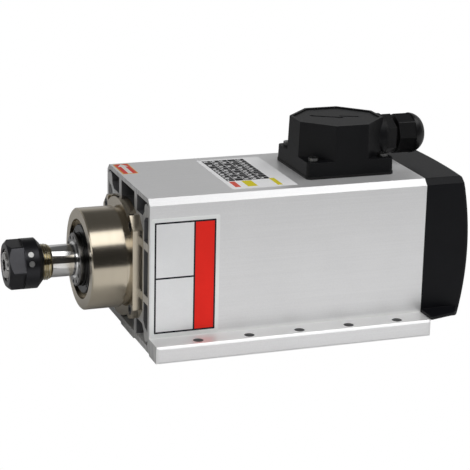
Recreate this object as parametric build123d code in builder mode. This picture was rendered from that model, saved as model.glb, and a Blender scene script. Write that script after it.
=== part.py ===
from build123d import *
from math import cos, radians, sin, tan
import os

# Square air-cooled motor spindle for a router or engraver: a footed aluminium extrusion
# with twelve air channels, a turned front bearing housing, an ER20 collet and nut, a
# shaft-driven cooling fan under a domed rear hood, and a terminal box with a cable gland.
# X runs along the spindle from the collet (-X) to the fan (+X), Z is up, and the origin
# is the middle of the base's bolt pattern, on the mounting plane. All sizes are in mm.

# ---- housing extrusion
body_width = 100.5
body_top = 107.0
body_front = -103.0
body_length = 198.0
axis_height = 55.0
corner_chamfer = 4.2
outer_wall = 3.2
floor_thick = 5.5
core_half = 37.5
core_chamfer = 3.0
stator_bore = 68.0
rib_thick = 5.5
rib_offset = 18.3
post_radius = 4.5
post_offset = 43.0
post_web = 4.0
foot_span = 137.0
foot_thick = 11.7
foot_edge = 1.6
foot_corner = 2.5
pad_half = 15.0
side_pad_from = 52.0
relief_depth = 1.3
hole_pitch = 36.0
hole_count = 5
hole_edge = 7.5
foot_hole = 7.0
body_rear = body_front + body_length

# ---- front bearing housing
nose_diameter = 69.0
nose_length = 27.0
nose_chamfer = 0.8
flange_thick = 7.0
flange_disc = 81.0
flange_half = 36.0
ear_inner = 24.0
ear_chamfer = 8.5
undercut_width = 3.0
undercut_depth = 1.6
spigot_length = 10.0
spigot_gap = 0.05
seat_shoulder_bore = 34.0
cover_recess = 54.4
cover_recess_depth = 3.4
flange_front = body_front - flange_thick
nose_front = flange_front - nose_length
recess_floor = nose_front + cover_recess_depth

# ---- cap screws that hold both bearing housings to the extrusion
flange_screw_offset = 29.0
cap_screw = 4.0
cap_head = 7.0
cap_head_height = 4.0
cap_key = 3.0
cap_key_depth = 2.0
head_gap = 0.2
thread_gap = 0.05
tapped_depth = 16.0

# ---- front bearings, matched pair
front_bearing_bore = 25.0
front_bearing_outer = 42.0
front_bearing_width = 9.0
ring_thick = 3.0
shield_thick = 0.8
shield_gap = 0.4
front_seat_end = -104.0

# ---- screwed-in front cover, and the labyrinth nut that turns inside it
cover_diameter = 47.0
cover_sunk = 1.0
cover_thread_length = 4.2
cover_edge = 0.6
spanner_hole = 2.2
spanner_hole_depth = 2.0
spanner_holes = 4
spanner_turn = 45.0
labyrinth_diameter = 36.0
labyrinth_out = 4.0
labyrinth_gap = 0.4
labyrinth_edge = 0.8
labyrinth_heel = 30.0
labyrinth_heel_length = 1.0
face_hole = 2.6
face_hole_depth = 2.5
face_holes = 12

# ---- shaft
shaft_front = -182.0
thread_land = 24.6
thread_end = -160.0
neck_taper = 2.5
neck_diameter = 21.8
shaft_shoulder = 32.0
shaft_shoulder_width = 8.0
shaft_body = 28.0
shaft_rear_land = 22.0
shaft_bore = 9.0
shaft_bore_end = -118.0
fan_seat = 14.0
shaft_tail = 3.0

# ---- rotor and stator
core_front = -70.0
core_length = 100.0
rotor_diameter = 36.0
air_gap = 0.5
end_ring_length = 8.0
end_ring_diameter = 34.0
winding_length = 18.0
winding_outer = 63.0
winding_inner = 42.0
winding_round = 4.0

# ---- rear end bell and bearing
bell_plate = 6.0
bell_spigot = 14.0
bell_web = 4.0
bell_hole = 19.0
rear_bearing_bore = 17.0
rear_bearing_outer = 40.0
rear_bearing_width = 12.0
rear_ring_thick = 4.0
spring_space = 1.5
spring_thick = 0.8

# ---- cooling fan
fan_gap = 1.0
fan_length = 14.0
fan_diameter = 72.0
fan_hub = 22.0
fan_plate = 1.6
fan_blades = 9
fan_blade_thick = 1.6
fan_blade_inner = 13.0
fan_blade_sweep = 24.0
clip_mouth = 4.0
clip_thick = 1.0
clip_diameter = 18.0
clip_groove = 0.8

# ---- rear hood
hood_wall = 2.5
hood_crown = 36.8
hood_side_radius = 221.0
hood_plan_radius = 520.0
hood_bottom = 6.5
hood_corner = 3.0
shelf_thick = 2.0
shelf_inset = 0.3
shelf_taper = 5.6
shelf_length = 21.0
shelf_corner = 7.0
hood_post = 10.5
hood_screw = 4.0
hood_screw_head = 7.6
hood_screw_head_height = 2.6
hood_screw_length = 38.0
hood_pocket = 8.4
hood_screw_socket = 2.5
hood_screw_socket_depth = 1.6
hood_cut_over = 8.0
hood_seat = 112.0
grille_slot = 3.4
grille_pitch = 6.8
grille_count = 11
grille_diameter = 76.0
grille_bar = 4.0

# ---- collet
taper_angle = 8.0
collet_diameter = 21.0
collet_length = 31.5
collet_bore = 8.0
collet_front = -188.3
collet_face = 16.8
collet_head = 2.6
collet_groove = 17.6
collet_groove_width = 2.0
collet_slots = 6
collet_slot_width = 0.6
collet_slot_land = 6.0
collet_slot_start = 7.5
taper_gap = 0.04
socket_run = 3.0

# ---- collet nut
nut_front = -187.5
nut_length = 23.0
nut_diameter = 34.0
nut_hex = 30.0
nut_hex_length = 10.5
nut_hex_turn = 4.0
nut_front_chamfer = 2.4
nut_rear_chamfer = 3.2
nut_rear_diameter = 27.0
nut_lip = 0.8
nut_lip_bore = 21.8
nut_thread_gap = 0.1
ring_diameter = 23.0
ring_length = 2.9
ring_gap = 0.05
ring_bore = 20.0
ring_offset = 0.9
balance_hole = 4.0
balance_depth = 3.2
balance_from_rear = 8.5
balance_angles = (143.0, 165.0, 323.0, 345.0)

# ---- terminal box
box_centre = 47.0
box_length = 64.0
box_width = 60.0
box_corner = 4.0
box_corner_cut = 19.5
box_height = 36.0
gasket_thick = 1.8
box_ledge = 11.4
box_wall = 2.4
box_draft = 2.0
box_rim = 2.0
box_rim_depth = 0.8
box_post = 8.0
box_screw_inset = 6.4
box_screw = 4.0
box_screw_head = 7.2
box_screw_head_height = 2.6
box_screw_bite = 2.8
box_screw_cross = 3.6
box_screw_cross_width = 0.9
box_screw_cross_depth = 1.2
lid_thick = 2.4
lid_gap = 0.1
lid_lip = 1.2
lid_lip_thick = 0.7
lid_groove_width = 1.1
lid_groove_depth = 0.6
lid_groove_reach = 16.0
lid_groove_step = 4.4
lead_hole = 15.0
lead_centre = 41.0
earth_screw = 4.0
earth_screw_head = 8.0
earth_screw_head_height = 2.8
earth_washer = 9.0
earth_washer_thick = 1.0
earth_centre = 25.5
earth_tip_gap = 0.4
earth_slot_width = 1.0

# ---- terminal board and leads
board_length = 36.0
board_width = 18.0
board_height = 8.0
board_centre = 56.0
stud_diameter = 4.0
stud_height = 9.0
stud_spacing_x = 11.0
stud_spacing_y = 10.0
stud_nut = 7.0
stud_nut_height = 3.0
lead_diameter = 3.0
lead_spacing = 4.4
barrier_thick = 1.4

# ---- cable gland
gland_rise = 21.0
gland_pad = 30.0
gland_pad_out = 0.8
gland_washer = 28.0
gland_washer_thick = 1.6
gland_hex = 25.0
gland_hex_length = 6.5
gland_neck = 19.0
gland_neck_length = 2.0
gland_thread = 20.0
gland_bore = 13.0
gland_tail = 9.0
gland_boss = 25.0
gland_boss_length = 4.0
gland_collar = 11.0
gland_nut = 28.4
gland_nut_length = 21.0
gland_nut_hex = 26.4
gland_nut_end = 18.0
gland_mouth = 14.0
gland_cable = 10.0
seal_diameter = 16.4
seal_length = 10.0
seal_gap = 0.2
gland_thread_gap = 0.1

out = "parts"
os.makedirs(out, exist_ok=True)

spin_axis = Axis((0, 0, axis_height), (1, 0, 0))
lengthwise = Plane(origin=(0, 0, axis_height), x_dir=(1, 0, 0), z_dir=(0, -1, 0))


def across(x):
    """Section plane at station x, with the spindle axis at its middle."""
    return Plane(origin=(x, 0, axis_height), x_dir=(0, 1, 0), z_dir=(1, 0, 0))


def finish(piece, name):
    """Label a finished piece and write it."""
    piece.part.label = name
    export_step(piece.part, f"{out}/{name}.step")


# ================================================================ housing extrusion
half_width = body_width / 2
half_foot = foot_span / 2
hole_row = half_foot - hole_edge
shelf_front_half = half_foot - shelf_inset
shelf_rear_half = shelf_front_half - shelf_taper
fan_front = body_rear + bell_plate + cap_head_height + fan_gap
roof = body_top - axis_height
inner_half = half_width - outer_wall
channel_top = roof - outer_wall
channel_bottom = floor_thick - axis_height

with BuildPart() as housing_extrusion:
    with BuildSketch(Plane.YZ.offset(body_front)):
        with BuildLine():
            Polyline(
                (0, 0),
                (pad_half, 0),
                (pad_half + relief_depth, relief_depth),
                (side_pad_from - relief_depth, relief_depth),
                (side_pad_from, 0),
                (half_foot - foot_edge, 0),
                (half_foot, foot_edge),
                (half_foot, foot_thick - foot_edge),
                (half_foot - foot_edge, foot_thick),
                (half_width, foot_thick),
                (half_width, body_top - corner_chamfer),
                (half_width - corner_chamfer, body_top),
                (0, body_top),
            )
            mirror(about=Plane.YZ)
        make_face()
    extrude(amount=body_length)
    # twelve air channels: the space between the outer walls and the core, less the ribs,
    # the corner webs and the screw posts
    with BuildSketch(across(body_front)):
        with BuildLine():
            Polyline(
                (-inner_half, channel_bottom),
                (inner_half, channel_bottom),
                (inner_half, channel_top - corner_chamfer / 2),
                (inner_half - corner_chamfer / 2, channel_top),
                (-inner_half + corner_chamfer / 2, channel_top),
                (-inner_half, channel_top - corner_chamfer / 2),
                close=True,
            )
        make_face()
        with BuildSketch(mode=Mode.SUBTRACT) as core_outline:
            Rectangle(2 * core_half, 2 * core_half)
            chamfer(core_outline.vertices(), core_chamfer)
        with Locations((-rib_offset, 0), (rib_offset, 0)):
            Rectangle(rib_thick, 4 * core_half, mode=Mode.SUBTRACT)
        with Locations((0, -rib_offset), (0, rib_offset)):
            Rectangle(4 * core_half, rib_thick, mode=Mode.SUBTRACT)
        with Locations((0, 0)):
            for turn in (45, -45):
                Rectangle(2.84 * post_offset, post_web, rotation=turn, mode=Mode.SUBTRACT)
        with GridLocations(2 * post_offset, 2 * post_offset, 2, 2):
            Circle(post_radius, mode=Mode.SUBTRACT)
    extrude(amount=body_length, mode=Mode.SUBTRACT)
    # stator bore
    with BuildSketch(across(body_front)):
        Circle(stator_bore / 2)
    extrude(amount=body_length, mode=Mode.SUBTRACT)
    # tapped holes for the bearing housings, front and rear
    for face_x, way in ((body_front, 1), (body_rear, -1)):
        with BuildSketch(across(face_x)):
            with GridLocations(2 * flange_screw_offset, 2 * flange_screw_offset, 2, 2):
                Circle(cap_screw / 2 + thread_gap)
        extrude(amount=way * tapped_depth, mode=Mode.SUBTRACT)
    # tapped holes for the hood, in the rear ends of the four posts
    with BuildSketch(across(body_rear)):
        with GridLocations(2 * post_offset, 2 * post_offset, 2, 2):
            Circle(hood_screw / 2 + thread_gap)
    extrude(amount=-(hood_screw_length - (hood_seat - body_rear) + 2), mode=Mode.SUBTRACT)
    # rounded plan corners of the feet
    with BuildSketch(Plane.XY):
        for end_x, way in ((body_front, 1), (body_rear, -1)):
            for side in (-1, 1):
                with Locations((end_x, side * half_foot)):
                    Rectangle(2 * foot_corner, 2 * foot_corner)
                with Locations((end_x + way * foot_corner, side * (half_foot - foot_corner))):
                    Circle(foot_corner, mode=Mode.SUBTRACT)
    extrude(amount=foot_thick, mode=Mode.SUBTRACT)
    # mounting holes in the feet
    with BuildSketch(Plane.XY):
        with GridLocations(hole_pitch, 2 * hole_row, hole_count, 2):
            Circle(foot_hole / 2)
    extrude(amount=foot_thick, mode=Mode.SUBTRACT)
    # terminal box screw holes and the lead passage down to the winding
    screw_dx = box_length / 2 - box_screw_inset
    screw_dy = box_width / 2 - box_screw_inset
    with BuildSketch(Plane.XY.offset(body_top)):
        with Locations((box_centre, 0)):
            with GridLocations(2 * screw_dx, 2 * screw_dy, 2, 2):
                Circle(box_screw / 2 + thread_gap)
    extrude(amount=-outer_wall, mode=Mode.SUBTRACT)
    with BuildSketch(Plane.XY.offset(body_top)):
        with Locations((lead_centre, 0)):
            Circle(lead_hole / 2)
    extrude(amount=-(roof - 0.45 * stator_bore), mode=Mode.SUBTRACT)
    with BuildSketch(Plane.XY.offset(body_top)):
        with Locations((earth_centre, 0)):
            Circle(earth_screw / 2 + thread_gap)
    extrude(amount=-outer_wall, mode=Mode.SUBTRACT)
finish(housing_extrusion, "housing_extrusion")

# ================================================================ front bearing housing
nose_r = nose_diameter / 2
disc_r = flange_disc / 2
seat_r = front_bearing_outer / 2
recess_r = cover_recess / 2
cover_r = cover_diameter / 2
cover_seat = recess_floor + cover_thread_length
spigot_r = stator_bore / 2 - spigot_gap

with BuildPart() as front_bearing_housing:
    with BuildSketch(lengthwise):
        with BuildLine():
            Polyline(
                (nose_front, recess_r),
                (nose_front, nose_r - nose_chamfer),
                (nose_front + nose_chamfer, nose_r),
                (flange_front - undercut_width, nose_r),
                (flange_front - undercut_width, nose_r - undercut_depth),
                (flange_front, nose_r - undercut_depth),
                (flange_front, disc_r),
                (body_front, disc_r),
                (body_front, spigot_r),
                (body_front + spigot_length, spigot_r),
                (body_front + spigot_length, seat_shoulder_bore / 2),
                (front_seat_end, seat_shoulder_bore / 2),
                (front_seat_end, seat_r),
                (cover_seat, seat_r),
                (cover_seat, cover_r + thread_gap),
                (recess_floor, cover_r + thread_gap),
                (recess_floor, recess_r),
                close=True,
            )
        make_face()
    revolve(axis=spin_axis)
    # the disc is cut flat at both sides
    with BuildSketch(across(flange_front)):
        with Locations((-flange_half - disc_r / 2, 0), (flange_half + disc_r / 2, 0)):
            Rectangle(disc_r, 2 * flange_disc)
    extrude(amount=flange_thick, mode=Mode.SUBTRACT)
    # four screw ears, each with a sharp notch where it meets the disc
    with BuildSketch(across(flange_front)):
        with BuildLine():
            Polyline(
                (ear_inner, ear_inner / 2),
                (flange_half, ear_inner / 2),
                (flange_half, flange_half - ear_chamfer),
                (flange_half - ear_chamfer, flange_half),
                (ear_inner, flange_half),
                close=True,
            )
        make_face()
        mirror(about=Plane.YZ)
        mirror(about=Plane.XZ)
    extrude(amount=flange_thick)
    # counterbored screw holes
    with BuildSketch(across(flange_front)):
        with GridLocations(2 * flange_screw_offset, 2 * flange_screw_offset, 2, 2):
            Circle(cap_screw / 2 + head_gap)
    extrude(amount=flange_thick, mode=Mode.SUBTRACT)
    with BuildSketch(across(flange_front)):
        with GridLocations(2 * flange_screw_offset, 2 * flange_screw_offset, 2, 2):
            Circle(cap_head / 2 + head_gap)
    extrude(amount=cap_head_height, mode=Mode.SUBTRACT)
finish(front_bearing_housing, "front_bearing_housing")

# ================================================================ cap screws, front and rear
for name, seat_x, way in (
    ("front_housing_screws", flange_front + cap_head_height, 1),
    ("end_bell_screws", body_rear + bell_plate, -1),
):
    grip = abs(seat_x - (body_front if way > 0 else body_rear))
    with BuildPart() as cap_screws:
        with BuildSketch(across(seat_x)):
            with GridLocations(2 * flange_screw_offset, 2 * flange_screw_offset, 2, 2):
                Circle(cap_screw / 2)
        extrude(amount=way * (grip + tapped_depth - 2))
        with BuildSketch(across(seat_x)):
            with GridLocations(2 * flange_screw_offset, 2 * flange_screw_offset, 2, 2):
                Circle(cap_head / 2)
        extrude(amount=-way * cap_head_height)
        with BuildSketch(across(seat_x - way * cap_head_height)):
            with GridLocations(2 * flange_screw_offset, 2 * flange_screw_offset, 2, 2):
                RegularPolygon(cap_key / 2, 6, major_radius=False)
        extrude(amount=way * cap_key_depth, mode=Mode.SUBTRACT)
    finish(cap_screws, name)

# ================================================================ front bearings
bore_r = front_bearing_bore / 2
inner_ring_r = bore_r + ring_thick
front_a = cover_seat
front_b = front_seat_end - front_bearing_width

for name, start in (("front_bearing_outer", front_a), ("second_bearing_outer", front_b)):
    with BuildPart() as outer_ring:
        with BuildSketch(lengthwise):
            with BuildLine():
                Polyline(
                    (start, seat_r),
                    (start, inner_ring_r + shield_gap),
                    (start + shield_thick, inner_ring_r + shield_gap),
                    (start + shield_thick, seat_r - ring_thick),
                    (start + front_bearing_width - shield_thick, seat_r - ring_thick),
                    (start + front_bearing_width - shield_thick, inner_ring_r + shield_gap),
                    (start + front_bearing_width, inner_ring_r + shield_gap),
                    (start + front_bearing_width, seat_r),
                    close=True,
                )
            make_face()
        revolve(axis=spin_axis)
    finish(outer_ring, name)

for name, start in (("front_bearing_inner", front_a), ("second_bearing_inner", front_b)):
    with BuildPart() as inner_ring:
        with BuildSketch(across(start)):
            Circle(inner_ring_r)
            Circle(bore_r, mode=Mode.SUBTRACT)
        extrude(amount=front_bearing_width)
    finish(inner_ring, name)

spacer_length = front_b - front_a - front_bearing_width
with BuildPart() as outer_spacer:
    with BuildSketch(across(front_a + front_bearing_width)):
        Circle(seat_r)
        Circle(seat_r - ring_thick, mode=Mode.SUBTRACT)
    extrude(amount=spacer_length)
finish(outer_spacer, "outer_spacer")

with BuildPart() as inner_spacer:
    with BuildSketch(across(front_a + front_bearing_width)):
        Circle(inner_ring_r)
        Circle(bore_r, mode=Mode.SUBTRACT)
    extrude(amount=spacer_length)
finish(inner_spacer, "inner_spacer")

# ================================================================ front cover
cover_front = nose_front + cover_sunk
lab_r = labyrinth_diameter / 2
lab_front = nose_front - labyrinth_out

with BuildPart() as front_cover:
    with BuildSketch(lengthwise):
        with BuildLine():
            Polyline(
                (cover_seat, cover_r),
                (cover_front + cover_edge, cover_r),
                (cover_front, cover_r - cover_edge),
                (cover_front, lab_r + labyrinth_gap),
                (cover_seat, lab_r + labyrinth_gap),
                close=True,
            )
        make_face()
    revolve(axis=spin_axis)
    # holes for a pin spanner
    with BuildSketch(across(cover_front)):
        with PolarLocations((cover_r + lab_r) / 2, spanner_holes, spanner_turn):
            Circle(spanner_hole / 2)
    extrude(amount=spanner_hole_depth, mode=Mode.SUBTRACT)
finish(front_cover, "front_cover")

with BuildPart() as labyrinth_nut:
    with BuildSketch(lengthwise):
        with BuildLine():
            Polyline(
                (cover_seat, bore_r),
                (cover_seat, labyrinth_heel / 2),
                (cover_seat - labyrinth_heel_length, labyrinth_heel / 2),
                (cover_seat - labyrinth_heel_length, lab_r),
                (lab_front + labyrinth_edge, lab_r),
                (lab_front, lab_r - labyrinth_edge),
                (lab_front, bore_r),
                close=True,
            )
        make_face()
    revolve(axis=spin_axis)
    # ring of balance holes in the front face
    with BuildSketch(across(lab_front)):
        with PolarLocations((lab_r + bore_r) / 2, face_holes):
            Circle(face_hole / 2)
    extrude(amount=face_hole_depth, mode=Mode.SUBTRACT)
finish(labyrinth_nut, "labyrinth_nut")

# ================================================================ rotor shaft
slope = tan(radians(taper_angle))
neck_r = neck_diameter / 2
core_rear = core_front + core_length
taper_start = collet_front + collet_head + collet_groove_width + 0.2
mouth_r = collet_diameter / 2 - (shaft_front - taper_start) * slope + taper_gap
socket_end = collet_front + collet_length + socket_run
socket_r = mouth_r - (socket_end - shaft_front) * slope
bell_inner = body_rear - bell_spigot
rear_seat_end = body_rear + bell_plate - bell_web
rear_bearing_start = rear_seat_end - spring_space - rear_bearing_width
rear_bore_r = rear_bearing_bore / 2
rear_seat_r = rear_bearing_outer / 2
clip_start = fan_front + fan_length
shaft_rear = clip_start + clip_thick + shaft_tail

with BuildPart() as rotor_shaft:
    with BuildSketch(lengthwise):
        with BuildLine():
            Polyline(
                (shaft_front, mouth_r),
                (shaft_front, thread_land / 2 - 0.8),
                (shaft_front + 0.8, thread_land / 2),
                (thread_end, thread_land / 2),
                (thread_end + neck_taper, neck_r),
                (lab_front, neck_r),
                (lab_front, bore_r),
                (front_seat_end, bore_r),
                (front_seat_end, shaft_shoulder / 2),
                (front_seat_end + shaft_shoulder_width, shaft_shoulder / 2),
                (front_seat_end + shaft_shoulder_width, shaft_body / 2),
                (core_rear + end_ring_length, shaft_body / 2),
                (core_rear + end_ring_length, shaft_rear_land / 2),
                (rear_bearing_start, shaft_rear_land / 2),
                (rear_bearing_start, rear_bore_r),
                (rear_seat_end + bell_web / 2, rear_bore_r),
                (rear_seat_end + bell_web / 2, fan_seat / 2),
                (clip_start, fan_seat / 2),
                (clip_start, fan_seat / 2 - clip_groove),
                (clip_start + clip_thick, fan_seat / 2 - clip_groove),
                (clip_start + clip_thick, fan_seat / 2),
                (shaft_rear, fan_seat / 2),
                (shaft_rear, 0),
                (shaft_bore_end, 0),
                (shaft_bore_end, shaft_bore / 2),
                (socket_end, shaft_bore / 2),
                (socket_end, socket_r),
                close=True,
            )
        make_face()
    revolve(axis=spin_axis)
finish(rotor_shaft, "rotor_shaft")

# ================================================================ rotor and stator
with BuildPart() as rotor_core:
    with BuildSketch(across(core_front)):
        Circle(rotor_diameter / 2)
        Circle(shaft_body / 2, mode=Mode.SUBTRACT)
    extrude(amount=core_length)
finish(rotor_core, "rotor_core")

with BuildPart() as rotor_end_rings:
    for start in (core_front - end_ring_length, core_rear):
        with BuildSketch(across(start)):
            Circle(end_ring_diameter / 2)
            Circle(shaft_body / 2, mode=Mode.SUBTRACT)
        extrude(amount=end_ring_length)
finish(rotor_end_rings, "rotor_end_rings")

with BuildPart() as stator_core:
    with BuildSketch(across(core_front)):
        Circle(stator_bore / 2)
        Circle(rotor_diameter / 2 + air_gap, mode=Mode.SUBTRACT)
    extrude(amount=core_length)
finish(stator_core, "stator_core")

for name, start, way in (
    ("front_end_winding", core_front, -1),
    ("rear_end_winding", core_rear, 1),
):
    far = start + way * winding_length
    with BuildPart() as end_winding:
        with BuildSketch(lengthwise):
            with BuildLine():
                Polyline(
                    (start, winding_inner / 2),
                    (start, winding_outer / 2),
                    (far - way * winding_round, winding_outer / 2),
                    (far, winding_outer / 2 - winding_round),
                    (far, winding_inner / 2 + winding_round / 2),
                    (far - way * winding_round / 2, winding_inner / 2),
                    close=True,
                )
            make_face()
        revolve(axis=spin_axis)
    finish(end_winding, name)

# ================================================================ rear end bell and bearing
with BuildPart() as rear_end_bell:
    with BuildSketch(lengthwise):
        with BuildLine():
            Polyline(
                (bell_inner, rear_seat_r),
                (bell_inner, spigot_r),
                (body_rear, spigot_r),
                (body_rear + bell_plate, spigot_r),
                (body_rear + bell_plate, bell_hole / 2),
                (rear_seat_end, bell_hole / 2),
                (rear_seat_end, rear_seat_r),
                close=True,
            )
        make_face()
    revolve(axis=spin_axis)
    with BuildSketch(across(body_rear)) as bell_outline:
        Rectangle(2 * flange_half, 2 * flange_half)
        chamfer(bell_outline.vertices(), ear_chamfer)
        Circle(spigot_r - 1, mode=Mode.SUBTRACT)
    extrude(amount=bell_plate)
    with BuildSketch(across(body_rear)):
        with GridLocations(2 * flange_screw_offset, 2 * flange_screw_offset, 2, 2):
            Circle(cap_screw / 2 + head_gap)
    extrude(amount=bell_plate, mode=Mode.SUBTRACT)
finish(rear_end_bell, "rear_end_bell")

rear_inner_r = rear_bore_r + rear_ring_thick
with BuildPart() as rear_bearing_outer_ring:
    with BuildSketch(lengthwise):
        with BuildLine():
            Polyline(
                (rear_bearing_start, rear_seat_r),
                (rear_bearing_start, rear_inner_r + shield_gap),
                (rear_bearing_start + shield_thick, rear_inner_r + shield_gap),
                (rear_bearing_start + shield_thick, rear_seat_r - rear_ring_thick),
                (rear_bearing_start + rear_bearing_width - shield_thick, rear_seat_r - rear_ring_thick),
                (rear_bearing_start + rear_bearing_width - shield_thick, rear_inner_r + shield_gap),
                (rear_bearing_start + rear_bearing_width, rear_inner_r + shield_gap),
                (rear_bearing_start + rear_bearing_width, rear_seat_r),
                close=True,
            )
        make_face()
    revolve(axis=spin_axis)
finish(rear_bearing_outer_ring, "rear_bearing_outer")

with BuildPart() as rear_bearing_inner_ring:
    with BuildSketch(across(rear_bearing_start)):
        Circle(rear_inner_r)
        Circle(rear_bore_r, mode=Mode.SUBTRACT)
    extrude(amount=rear_bearing_width)
finish(rear_bearing_inner_ring, "rear_bearing_inner")

# preload spring: a coned washer between the outer ring and the bell's web
with BuildPart() as preload_spring:
    with BuildSketch(lengthwise):
        with BuildLine():
            Polyline(
                (rear_seat_end - spring_space, rear_seat_r - 0.4),
                (rear_seat_end - spring_thick, rear_inner_r + 2.0),
                (rear_seat_end, rear_inner_r + 2.0),
                (rear_seat_end - spring_space + spring_thick, rear_seat_r - 0.4),
                close=True,
            )
        make_face()
    revolve(axis=spin_axis)
finish(preload_spring, "preload_spring")

# ================================================================ cooling fan
with BuildPart() as cooling_fan:
    with BuildSketch(across(fan_front)):
        Circle(fan_diameter / 2)
    extrude(amount=fan_plate)
    with BuildSketch(across(fan_front)):
        Circle(fan_hub / 2)
    extrude(amount=fan_length)
    # backward-swept blades, each a thin curved plate standing on the back plate
    sweep_end = radians(fan_blade_sweep)
    blade_out = fan_diameter / 2
    with BuildSketch(across(fan_front + fan_plate)):
        with PolarLocations(0, fan_blades):
            with BuildLine():
                spine = ThreePointArc(
                    (fan_hub / 2 - 1, 0),
                    (0.55 * blade_out, 2.0),
                    (blade_out * cos(sweep_end), blade_out * sin(sweep_end)),
                )
                offset(spine, amount=fan_blade_thick / 2, kind=Kind.ARC)
            make_face()
        Circle(fan_hub / 2 - 1, mode=Mode.SUBTRACT)
    extrude(amount=fan_length - fan_plate - 3)
    with BuildSketch(across(fan_front)):
        Circle(fan_seat / 2)
    extrude(amount=fan_length, mode=Mode.SUBTRACT)
finish(cooling_fan, "cooling_fan")

with BuildPart() as fan_clip:
    with BuildSketch(across(clip_start)):
        Circle(clip_diameter / 2)
        Circle(fan_seat / 2 - clip_groove, mode=Mode.SUBTRACT)
        with Locations((0, -clip_diameter / 2)):
            Rectangle(clip_mouth, clip_diameter / 2, mode=Mode.SUBTRACT)
    extrude(amount=clip_thick)
finish(fan_clip, "fan_clip")

# ================================================================ rear hood
hood_peak = body_rear + hood_crown


def barrel(peak, side_radius, plan_radius):
    """Doubly curved blank that gives the hood its domed rear."""
    sag = plan_radius - (plan_radius**2 - body_width**2) ** 0.5
    with BuildPart() as blank:
        with BuildSketch(Plane.XY.offset(axis_height)):
            with BuildLine():
                ThreePointArc((peak - sag, -body_width), (peak, 0), (peak - sag, body_width))
                Polyline(
                    (peak - sag, body_width),
                    (peak - side_radius, body_width),
                    (peak - side_radius, -body_width),
                    (peak - sag, -body_width),
                )
            make_face()
        revolve(axis=Axis((peak - side_radius, 0, axis_height), (0, 1, 0)))
    return blank.part


outer_blank = barrel(hood_peak, hood_side_radius, hood_plan_radius)
inner_blank = barrel(hood_peak - hood_wall, hood_side_radius - hood_wall, hood_plan_radius)
hood_floor = hood_bottom - axis_height
cut_depth = hood_crown + hood_cut_over

with BuildPart() as hood_cavity:
    with BuildSketch(across(body_rear)):
        with BuildLine():
            Polyline(
                (-half_width + hood_wall, hood_floor + hood_wall),
                (half_width - hood_wall, hood_floor + hood_wall),
                (half_width - hood_wall, roof - corner_chamfer - hood_wall / 2),
                (half_width - corner_chamfer - hood_wall / 2, roof - hood_wall),
                (-half_width + corner_chamfer + hood_wall / 2, roof - hood_wall),
                (-half_width + hood_wall, roof - corner_chamfer - hood_wall / 2),
                close=True,
            )
        make_face()
    extrude(amount=cut_depth)
    add(inner_blank, mode=Mode.INTERSECT)

with BuildPart() as rear_hood:
    with BuildSketch(across(body_rear)):
        with BuildLine():
            Polyline(
                (-half_width, hood_floor),
                (half_width, hood_floor),
                (half_width, roof - corner_chamfer),
                (half_width - corner_chamfer, roof),
                (-half_width + corner_chamfer, roof),
                (-half_width, roof - corner_chamfer),
                close=True,
            )
        make_face()
    extrude(amount=cut_depth)
    add(outer_blank, mode=Mode.INTERSECT)
    fillet(rear_hood.faces().sort_by(Axis.X)[-1].edges(), hood_corner)
    add(hood_cavity.part, mode=Mode.SUBTRACT)
    # flared shelves that lie level with the top of the feet
    with BuildSketch(Plane.XY.offset(foot_thick)) as shelf:
        with BuildLine():
            Polyline(
                (body_rear, half_width - hood_wall / 2),
                (body_rear, shelf_front_half),
                (body_rear + shelf_length, shelf_rear_half),
                (body_rear + shelf_length + shelf_corner, half_width - hood_wall / 2),
                close=True,
            )
        make_face()
        fillet(shelf.vertices().sort_by(Axis.X)[2], shelf_corner)
        mirror(about=Plane.XZ)
    extrude(amount=shelf_thick)
    # screw posts from the domed wall down to the extrusion's rear face
    with BuildPart(mode=Mode.PRIVATE) as hood_posts:
        with BuildSketch(across(body_rear)):
            with GridLocations(2 * post_offset, 2 * post_offset, 2, 2):
                Circle(hood_post / 2)
        extrude(amount=cut_depth)
        add(outer_blank, mode=Mode.INTERSECT)
    add(hood_posts.part)
    with BuildSketch(across(body_rear)):
        with GridLocations(2 * post_offset, 2 * post_offset, 2, 2):
            Circle(hood_screw / 2 + head_gap)
    extrude(amount=cut_depth, mode=Mode.SUBTRACT)
    with BuildSketch(across(hood_seat)):
        with GridLocations(2 * post_offset, 2 * post_offset, 2, 2):
            Circle(hood_pocket / 2)
    extrude(amount=cut_depth, mode=Mode.SUBTRACT)
    # air intake: rows of slots that fill a circle, parted by a middle bar
    with BuildSketch(across(body_rear + hood_crown / 2)):
        for row in range(grille_count):
            row_z = (row - (grille_count - 1) / 2) * grille_pitch
            row_length = 2 * ((grille_diameter / 2) ** 2 - row_z**2) ** 0.5
            with Locations((0, row_z)):
                SlotOverall(row_length, grille_slot)
        Rectangle(grille_bar, grille_diameter, mode=Mode.SUBTRACT)
    extrude(amount=cut_depth, mode=Mode.SUBTRACT)
finish(rear_hood, "rear_hood")

with BuildPart() as hood_screws:
    with BuildSketch(across(hood_seat)):
        with GridLocations(2 * post_offset, 2 * post_offset, 2, 2):
            Circle(hood_screw / 2)
    extrude(amount=-hood_screw_length)
    with BuildSketch(across(hood_seat)):
        with GridLocations(2 * post_offset, 2 * post_offset, 2, 2):
            Circle(hood_screw_head / 2)
    extrude(amount=hood_screw_head_height)
    with BuildSketch(across(hood_seat + hood_screw_head_height)):
        with GridLocations(2 * post_offset, 2 * post_offset, 2, 2):
            RegularPolygon(hood_screw_socket / 2, 6, major_radius=False)
    extrude(amount=-hood_screw_socket_depth, mode=Mode.SUBTRACT)
finish(hood_screws, "hood_screws")

# ================================================================ collet
collet_r = collet_diameter / 2
tail_r = collet_r - (collet_front + collet_length - taper_start) * slope
groove_start = collet_front + collet_head
groove_end = groove_start + collet_groove_width

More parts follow.
